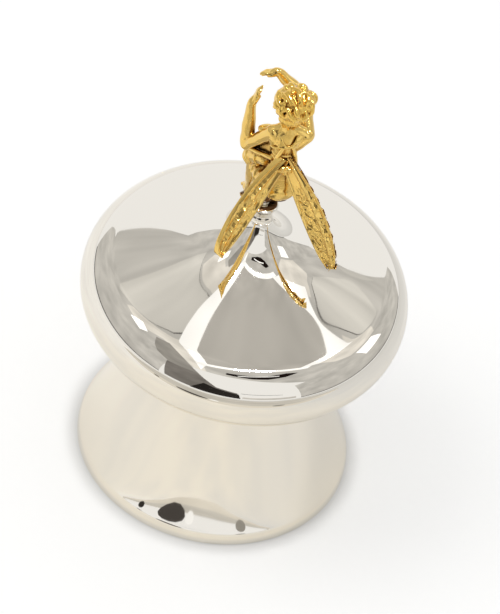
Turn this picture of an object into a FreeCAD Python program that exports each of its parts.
import FreeCAD, Part
import math
import os

# A toadstool keepsake box for baby teeth: a silver stem with a gilt cup inside, and a lift-off
# silver cap with a gilt fairy seated on its peak. Millimetres, +Z up, origin under the middle of
# the foot. The front of the frame is -Y: the fairy turns its back to that side.

V = FreeCAD.Vector
UP = V(0, 0, 1)

# Stem
foot_radius = 17.1
foot_edge_height = 0.3  # of the upright edge
foot_roll_radius = 3.0  # of the rounding above the edge
foot_slope = 62.5  # degrees, of the flare where it leaves the rounding
foot_reach = 5.0  # length over which the flare about keeps that slope
neck_share = 0.56  # radius of the neck against that of the cap
neck_start_height = 19.0  # where the flare has become the straight neck
neck_reach = 4.0
stem_height = 23.0
silver_wall = 0.7
foot_ring_width = 1.1  # the flat ring that the box stands on
base_ledge_width = 0.5
base_plate_thickness = 0.6
base_plate_recess = 0.3

# Cup inside the stem; its top stands above the stem and carries the lid
cup_wall = 0.6
cup_floor_height = 5.8  # of the floor's top
cup_corner_radius = 1.6
cup_lip_radius = 0.25
bezel_height = 3.0

# Cap
cap_radius = 20.0
rim_share = 0.26  # radius of the rim's section against that of the cap
rim_height = 27.7  # of the widest circle
rim_blend_angle = 72.0  # degrees round the rim's section, where it passes into the slope
rim_reach = 8.0
peak_height = 40.7
peak_radius = 1.45
peak_thickness = 1.2
peak_slope = 70.0  # degrees
peak_reach = 5.0
underside_thickness = 0.8
underside_lift = 0.25  # clear height above the stem's mouth
collar_wall = 0.8
collar_height = 4.2

halvings = 40  # steps of the search along a curve

# Fits
lid_fit = 0.06  # radial play of the collar on the cup
solder_gap = 0.03
stud_play = 0.05
leg_clearance = 0.3  # between the fairy's feet and the cap

# Knob on the peak that the fairy sits on
knob_height = 2.6
knob_foot_radius = 1.4
knob_waist_radius = 1.2
knob_top_radius = 1.8
knob_edge_radius = 0.3

# Stud, washer and nut that hold the fairy
stud_radius = 0.6
stud_depth = 1.4  # into the fairy
stud_tip_length = 0.6  # past the nut
washer_radius = 2.6
washer_thickness = 0.5
nut_sides = 6
nut_width = 2.5  # across flats
nut_thickness = 1.0

# Fairy. Turns are in degrees to the left of +Y, places are measured from the top of the knob.
figure_height = 18.0  # from the seat to the top of the hair
grid = figure_height / 18  # its other sizes count in eighteenths of that
torso_turn = 20.0
head_turn = 82.0
head_nod = 24.0
hip_place = V(1.3, 0.8, 0.0) * grid
hip_height = 1.9 * grid
waist_height = 5.6 * grid
chest_height = 9.5 * grid
shoulder_height = 10.7 * grid
neck_top_height = 13.4 * grid
head_place = V(0.8, 1.3, 15.45) * grid
skull_radius = 2.05 * grid
crown_lift = 0.2 * grid  # of the skull's middle above the middle of the head
jaw_radius = 1.2 * grid
jaw_reach = 1.3 * grid  # forward of the middle of the head
jaw_drop = 1.3 * grid
hair_thickness = 0.3 * grid
hair_drop = 0.7 * grid  # length of the hair behind the skull

seat_half_width = 1.7 * grid
hip_half_width = 2.25 * grid
belly_half_width = 1.8 * grid
waist_half_width = 1.35 * grid
rib_half_width = 1.5 * grid
chest_half_width = 1.75 * grid
collar_half_width = 1.7 * grid
throat_radius = 0.9 * grid
hip_depth_share = 0.85  # depth of the body against its width
chest_depth_share = 0.72

thigh_radius = 1.2 * grid
thigh_swell = 0.12 * grid
knee_radius = 0.9 * grid
calf_swell = 0.15 * grid
ankle_radius = 0.5 * grid
toe_radius = 0.36 * grid
foot_length = 2.8 * grid
hip_spread = 1.0 * grid
left_knee = V(-2.25, 7.0, -0.2) * grid
right_knee = V(0.9, 7.6, 0.2) * grid
left_ankle = V(-2.2, 8.5, 0.0) * grid  # height comes from the cap under it
right_ankle = V(0.9, 9.0, 0.0) * grid

upper_arm_radius = 0.95 * grid
elbow_radius = 0.62 * grid
forearm_swell = 0.08 * grid
wrist_radius = 0.42 * grid
palm_radius = 0.5 * grid
palm_share = 0.5  # of the hand's length
knuckle_radius = 0.24 * grid
finger_radius = 0.2 * grid
finger_spacing = 0.3 * grid
left_shoulder = V(-0.6, 1.1, 10.4) * grid
left_elbow = V(-3.5, 3.0, 5.7) * grid
left_wrist = V(-3.85, 4.0, 11.3) * grid
left_fingertip = V(-3.1, 4.6, 13.8) * grid
right_shoulder = V(3.2, 1.6, 10.6) * grid
right_elbow = V(2.2, 6.0, 12.0) * grid
right_wrist = V(-1.6, 6.2, 15.1) * grid
right_fingertip = V(-3.55, 6.0, 14.5) * grid
muscle_share = 0.4  # of a limb's length, where it is fullest
joint_taper = 0.96  # a limb starts this much thinner than the end of the one before it

wing_thickness = 0.6 * grid
wing_edge_share = 0.45  # thickness left at the narrow ends
wing_fold = 0.45 * grid  # depth of the groove along the middle
wing_embed = 0.9 * grid  # length of the root that starts inside the back
wing_bow = 0.4 * grid
wing_outline = [(0.0, 0.4), (0.15, 0.7), (0.42, 1.0), (0.68, 1.0), (0.88, 0.74), (0.97, 0.42), (1.0, 0.18)]
left_wing_root = V(0.75, -0.3, 6.9) * grid
left_wing_tip = V(-4.0, -6.5, -3.3) * grid
left_wing_edge = V(-0.8, -0.15, 0.5)  # the way its broad side lies
left_wing_half_width = 1.1 * grid
right_wing_root = V(1.9, -0.2, 6.9) * grid
right_wing_tip = V(9.5, -5.0, -3.6) * grid
right_wing_edge = V(0.8, -0.1, 0.55)
right_wing_half_width = 1.55 * grid

# Sizes that follow from those above
neck_radius = cap_radius * neck_share
rim_section_radius = cap_radius * rim_share
base_seat_radius = foot_radius - foot_ring_width
plate_top = base_plate_recess + base_plate_thickness
neck_bore = neck_radius - silver_wall
cup_radius = neck_bore - solder_gap
cup_bore = cup_radius - cup_wall
cup_top = stem_height + bezel_height
collar_bore = cup_radius + lid_fit
collar_radius = collar_bore + collar_wall
rim_ring_radius = cap_radius - rim_section_radius
seat_height = peak_height + knob_height


def line(a, b):
    return Part.LineSegment(V(a[0], 0, a[1]), V(b[0], 0, b[1])).toShape()


def arc(a, middle, b):
    points = [V(p[0], 0, p[1]) for p in (a, middle, b)]
    return Part.Arc(*points).toShape()


def bezier(poles):
    curve = Part.BezierCurve()
    curve.setPoles([V(p[0], 0, p[1]) for p in poles])
    return curve


def lathe(edges):
    """Turn a closed outline of (radius, height) edges round the Z axis."""
    face = Part.Face(Part.Wire(edges))
    return face.revolve(V(0, 0, 0), UP, 360)


def ring(inner, outer, bottom, top):
    corners = [(inner, bottom), (outer, bottom), (outer, top), (inner, top)]
    return lathe([line(corners[i], corners[(i + 1) % 4]) for i in range(4)])


def disc(radius, bottom, top):
    return Part.makeCylinder(radius, top - bottom, V(0, 0, bottom))


def slope_point(origin, length, degrees):
    """The point that lies length from origin, up the slope towards the axis."""
    turn = math.radians(degrees)
    return (origin[0] - length * math.cos(turn), origin[1] + length * math.sin(turn))


# Stem


def foot_roll_point(degrees):
    """A point on the rounding of the foot's edge, degrees up from the upright edge."""
    turn = math.radians(degrees)
    radius = foot_radius - foot_roll_radius * (1 - math.cos(turn))
    return (radius, foot_edge_height + foot_roll_radius * math.sin(turn))


def stem_shell():
    """A waisted stem that flares to a rounded foot, with a ledge under it for the base plate."""
    edge = (foot_radius, foot_edge_height)
    roll_turn = 90 - foot_slope
    flare = foot_roll_point(roll_turn)
    neck = (neck_radius, neck_start_height)
    inner_neck = (neck_bore, neck_start_height)
    ledge = (base_seat_radius - base_ledge_width, plate_top)
    neck_pole_height = neck_start_height - neck_reach
    outer = [flare, slope_point(flare, foot_reach, foot_slope), (neck_radius, neck_pole_height), neck]
    inner = [ledge, slope_point(ledge, foot_reach, foot_slope), (neck_bore, neck_pole_height), inner_neck]
    return lathe(
        [
            line((base_seat_radius, 0), (foot_radius, 0)),
            line((foot_radius, 0), edge),
            arc(edge, foot_roll_point(roll_turn / 2), flare),
            bezier(outer).toShape(),
            line(neck, (neck_radius, stem_height)),
            line((neck_radius, stem_height), (neck_bore, stem_height)),
            line((neck_bore, stem_height), inner_neck),
            bezier(inner[::-1]).toShape(),
            line(ledge, (base_seat_radius, plate_top)),
            line((base_seat_radius, plate_top), (base_seat_radius, 0)),
        ]
    )


def base_plate():
    return disc(base_seat_radius - solder_gap, base_plate_recess, plate_top)


def inner_cup():
    outside = cup_corner_radius + cup_wall
    turn = math.radians(45)

    def corner(radius):
        middle_radius = cup_bore - cup_corner_radius + radius * math.sin(turn)
        return (middle_radius, cup_floor_height + cup_corner_radius - radius * math.cos(turn))

    flat = cup_bore - cup_corner_radius
    bend_top = cup_floor_height + cup_corner_radius
    under = bend_top - outside
    lip_start = cup_top - cup_lip_radius
    lip_outer = cup_radius - cup_lip_radius
    lip_middle = (lip_outer + cup_lip_radius * math.sin(turn), lip_start + cup_lip_radius * math.cos(turn))
    return lathe(
        [
            line((0, cup_floor_height), (0, under)),
            line((0, under), (flat, under)),
            arc((flat, under), corner(outside), (cup_radius, bend_top)),
            line((cup_radius, bend_top), (cup_radius, lip_start)),
            arc((cup_radius, lip_start), lip_middle, (lip_outer, cup_top)),
            line((lip_outer, cup_top), (cup_bore, cup_top)),
            line((cup_bore, cup_top), (cup_bore, bend_top)),
            arc((cup_bore, bend_top), corner(cup_corner_radius), (flat, cup_floor_height)),
            line((flat, cup_floor_height), (0, cup_floor_height)),
        ]
    )


# Cap


def rim_point(radius, degrees):
    turn = math.radians(degrees)
    return (rim_ring_radius + radius * math.cos(turn), rim_height + radius * math.sin(turn))


def cap_slope(depth, drop):
    """The curve from the rim up to the peak, depth under the outside and drop below its top."""
    start = rim_point(rim_section_radius - depth, rim_blend_angle)
    slope = math.radians(peak_slope)
    out, down = math.cos(slope), math.sin(slope)
    along = (drop - depth * out) / down
    end = (peak_radius - depth * down + along * out, peak_height - drop)
    near_peak = (end[0] + peak_reach * out, end[1] - peak_reach * down)
    return bezier([start, slope_point(start, rim_reach, 90 - rim_blend_angle), near_peak, end])


def height_on(curve, radius):
    """The height of a cap curve at a radius, found by halving its span."""
    low, high = 0.0, 1.0
    for _ in range(halvings):
        middle = (low + high) / 2
        if curve.value(middle).x > radius:
            low = middle
        else:
            high = middle
    return curve.value(low).z


OUTER_SLOPE = cap_slope(0, 0)
INNER_SLOPE = cap_slope(silver_wall, peak_thickness)


def cap_shell():
    inner_section = rim_section_radius - silver_wall
    hole = stud_radius + stud_play
    bottom, inner_bottom = rim_point(rim_section_radius, -90), rim_point(inner_section, -90)
    blend, inner_blend = (rim_point(r, rim_blend_angle) for r in (rim_section_radius, inner_section))
    inner_peak = (INNER_SLOPE.value(1).x, INNER_SLOPE.value(1).z)
    inner_poles = [(p.x, p.z) for p in INNER_SLOPE.getPoles()]
    return lathe(
        [
            line((hole, peak_height), (peak_radius, peak_height)),
            bezier([(p.x, p.z) for p in OUTER_SLOPE.getPoles()[::-1]]).toShape(),
            arc(blend, rim_point(rim_section_radius, 0), bottom),
            line(bottom, inner_bottom),
            arc(inner_bottom, rim_point(inner_section, 0), inner_blend),
            bezier(inner_poles).toShape(),
            line(inner_peak, (hole, inner_peak[1])),
            line((hole, inner_peak[1]), (hole, peak_height)),
        ]
    )


def cap_underside():
    inner = collar_radius + solder_gap
    outer = rim_ring_radius - solder_gap
    low = rim_height - rim_section_radius
    high = stem_height + underside_lift
    corners = [
        (inner, high),
        (outer, low),
        (outer, low + underside_thickness),
        (inner, high + underside_thickness),
    ]
    return lathe([line(corners[i], corners[(i + 1) % 4]) for i in range(4)])


def lid_collar():
    return ring(collar_bore, collar_radius, stem_height, stem_height + collar_height)


# Stud, washer and nut

washer_top = height_on(INNER_SLOPE, washer_radius + solder_gap)
nut_top = washer_top - washer_thickness
stud_end = nut_top - nut_thickness - stud_tip_length


def peak_knob():
    """A turned spool: a narrow foot on the peak, a waist, and a flat rounded top."""
    hole = stud_radius + stud_play
    foot = (knob_foot_radius, peak_height)
    shoulder = (knob_top_radius, seat_height - knob_edge_radius)
    top = (knob_top_radius - knob_edge_radius, seat_height)
    bend = math.sqrt(0.5) * knob_edge_radius
    edge_middle = (top[0] + bend, shoulder[1] + bend)
    third = knob_height / 3
    waist = [(knob_waist_radius, peak_height + third), (knob_waist_radius, seat_height - third)]
    return lathe(
        [
            line((hole, peak_height), foot),
            bezier([foot, *waist, shoulder]).toShape(),
            arc(shoulder, edge_middle, top),
            line(top, (hole, seat_height)),
            line((hole, seat_height), (hole, peak_height)),
        ]
    )


def fairy_stud():
    return disc(stud_radius, stud_end, seat_height + stud_depth)


def stud_washer():
    return ring(stud_radius + stud_play, washer_radius, nut_top, washer_top)


def stud_nut():
    corner = nut_width / 2 / math.cos(math.pi / nut_sides)
    turns = [2 * math.pi * i / nut_sides for i in range(nut_sides + 1)]
    points = [V(corner * math.cos(t), corner * math.sin(t), nut_top - nut_thickness) for t in turns]
    body = Part.Face(Part.makePolygon(points)).extrude(V(0, 0, nut_thickness))
    return body.cut(disc(stud_radius + solder_gap, stud_end, washer_top))


# Fairy


def placed(point):
    return point + V(0, 0, seat_height)


def facing(degrees):
    turn = math.radians(degrees)
    return V(-math.sin(turn), math.cos(turn), 0)


def oval(centre, across, half_width, half_depth):
    """A level oval whose half width lies along across."""
    wide = half_width >= half_depth
    long_way = across if wide else UP.cross(across)
    longer, shorter = (half_width, half_depth) if wide else (half_depth, half_width)
    edge = Part.Ellipse(V(0, 0, 0), longer, shorter).toShape()
    edge.Placement = FreeCAD.Placement(centre, FreeCAD.Rotation(long_way, UP.cross(long_way), UP, "ZXY"))
    return Part.Wire(edge)


def limb(start, end, start_radius, end_radius, swell=0.0):
    """A tapered limb with round ends, fuller by swell where its muscle is thickest."""
    length = (end - start).Length
    fullest = (start_radius + (end_radius - start_radius) * muscle_share + swell, length * muscle_share)
    half = math.sqrt(0.5)
    outline = [
        arc((0, -start_radius), (start_radius * half, -start_radius * half), (start_radius, 0)),
        line((start_radius, 0), fullest),
        line(fullest, (end_radius, length)),
        arc((end_radius, length), (end_radius * half, length + end_radius * half), (0, length + end_radius)),
        line((0, length + end_radius), (0, -start_radius)),
    ]
    solid = lathe(outline)
    solid.Placement = FreeCAD.Placement(start, FreeCAD.Rotation(UP, end - start))
    return solid


def torso():
    across = facing(torso_turn).cross(UP)
    lean = head_place - hip_place
    sections = [
        (0.0, seat_half_width, hip_depth_share),
        (hip_height, hip_half_width, hip_depth_share),
        ((hip_height + waist_height) / 2, belly_half_width, hip_depth_share),
        (waist_height, waist_half_width, hip_depth_share),
        ((waist_height + chest_height) / 2, rib_half_width, chest_depth_share),
        (chest_height, chest_half_width, chest_depth_share),
        (shoulder_height, collar_half_width, chest_depth_share),
        ((shoulder_height + neck_top_height) / 2, throat_radius, 1.0),
        (neck_top_height, throat_radius, 1.0),
    ]
    wires = []
    for height, half_width, depth_share in sections:
        rise = height / head_place.z
        centre = V(hip_place.x + lean.x * rise, hip_place.y + lean.y * rise, height)
        wires.append(oval(placed(centre), across, half_width, half_width * depth_share))
    return Part.makeLoft(wires, True)


def head():
    """An egg from the jaw to the crown, and a cap of hair over it."""
    nod = math.radians(head_nod)
    level = facing(head_turn)
    forward = level * math.cos(nod) - UP * math.sin(nod)
    above = forward.cross(UP.cross(level))
    middle = placed(head_place)
    crown = middle + above * crown_lift
    jaw = middle + forward * jaw_reach - above * jaw_drop
    hair_top = crown - forward * hair_thickness
    hair_radius = skull_radius + hair_thickness
    return [
        limb(jaw, crown, jaw_radius, skull_radius),
        limb(hair_top - above * hair_drop, hair_top, hair_radius, hair_radius),
    ]


def resting_height(distance, thickness):
    """The height at which a round limb lies clear of the cap's slope."""
    step = leg_clearance / 2
    drop = height_on(OUTER_SLOPE, distance - step) - height_on(OUTER_SLOPE, distance + step)
    return height_on(OUTER_SLOPE, distance) + (leg_clearance + thickness) * math.hypot(1, drop / (2 * step))


def leg(hip, knee, ankle):
    """Thigh, shin and foot; the foot lies along the slope of the cap."""
    outward = V(ankle.x, ankle.y, 0)
    radius = outward.Length
    outward.normalize()
    heel = outward * radius + UP * resting_height(radius, ankle_radius)
    toe_distance = radius + foot_length
    toe = outward * toe_distance + UP * resting_height(toe_distance, toe_radius)
    bend = placed(knee)
    return [
        limb(placed(hip), bend, thigh_radius, knee_radius, thigh_swell),
        limb(bend, heel, knee_radius * joint_taper, ankle_radius, calf_swell),
        limb(heel, toe, ankle_radius * joint_taper, toe_radius),
    ]


def fairy_figure():
    across = facing(torso_turn).cross(UP) * hip_spread
    hip_middle = hip_place + facing(torso_turn) * (hip_half_width - thigh_radius) + UP * hip_height
    pieces = head()
    pieces += leg(hip_middle - across, left_knee, left_ankle)
    pieces += leg(hip_middle + across, right_knee, right_ankle)
    whole = torso().multiFuse(pieces).removeSplitter()
    return whole.cut(disc(stud_radius + solder_gap, peak_height, seat_height + stud_depth + solder_gap))


def arm(shoulder, elbow, wrist, fingertip, figure):
    """Upper arm, forearm and hand, cut where they meet the figure."""
    points = [placed(p) for p in (shoulder, elbow, wrist, fingertip)]
    along = points[3] - points[2]
    across = along.cross(points[1] - points[2])
    across.normalize()
    knuckles = points[2] + along * palm_share
    pieces = [
        limb(points[1], points[2], elbow_radius * joint_taper, wrist_radius, forearm_swell),
        limb(points[2], knuckles, wrist_radius * joint_taper, palm_radius),
    ]
    for finger in (-1, 0, 1):
        spread = across * finger * finger_spacing
        pieces.append(limb(knuckles + spread, points[3] + spread, knuckle_radius, finger_radius))
    whole = limb(points[0], points[1], upper_arm_radius, elbow_radius).multiFuse(pieces)
    return whole.removeSplitter().cut(figure)


def wing(root, tip, edge, half_width, figure):
    """A long leaf, folded along its middle, that starts in the back and ends in a blunt tip."""
    start, end = placed(root), placed(tip)
    along = end - start
    length = along.Length
    along.normalize()
    start = start - along * wing_embed
    broad = edge - along * edge.dot(along)
    broad.normalize()
    normal = along.cross(broad)
    wires = []
    for share, width in wing_outline:
        bow = wing_bow * math.sin(math.pi * share)
        centre = start + along * (length + wing_embed) * share + broad * bow
        half = half_width * width
        fold = wing_fold * width
        thickness = wing_thickness * (wing_edge_share + (1 - wing_edge_share) * width)
        corners = [
            centre - broad * half,
            centre + normal * (fold + thickness / 2),
            centre + broad * half,
            centre + normal * (fold - thickness / 2),
        ]
        wires.append(Part.makePolygon(corners + corners[:1]))
    return Part.makeLoft(wires, True).cut(figure)


def main():
    figure = fairy_figure()
    left_arm = (left_shoulder, left_elbow, left_wrist, left_fingertip)
    right_arm = (right_shoulder, right_elbow, right_wrist, right_fingertip)
    left_wing = (left_wing_root, left_wing_tip, left_wing_edge, left_wing_half_width)
    right_wing = (right_wing_root, right_wing_tip, right_wing_edge, right_wing_half_width)
    nodes = {
        "stem_shell": stem_shell(),
        "base_plate": base_plate(),
        "inner_cup": inner_cup(),
        "cap_shell": cap_shell(),
        "cap_underside": cap_underside(),
        "lid_collar": lid_collar(),
        "peak_knob": peak_knob(),
        "fairy_stud": fairy_stud(),
        "stud_washer": stud_washer(),
        "stud_nut": stud_nut(),
        "fairy_figure": figure,
        "fairy_left_arm": arm(*left_arm, figure),
        "fairy_right_arm": arm(*right_arm, figure),
        "fairy_left_wing": wing(*left_wing, figure),
        "fairy_right_wing": wing(*right_wing, figure),
    }
    os.makedirs("parts", exist_ok=True)
    for name, shape in nodes.items():
        shape.exportStep(os.path.join("parts", name + ".step"))
        print(name, shape.isValid(), len(shape.Solids), round(shape.Volume, 2))


main()
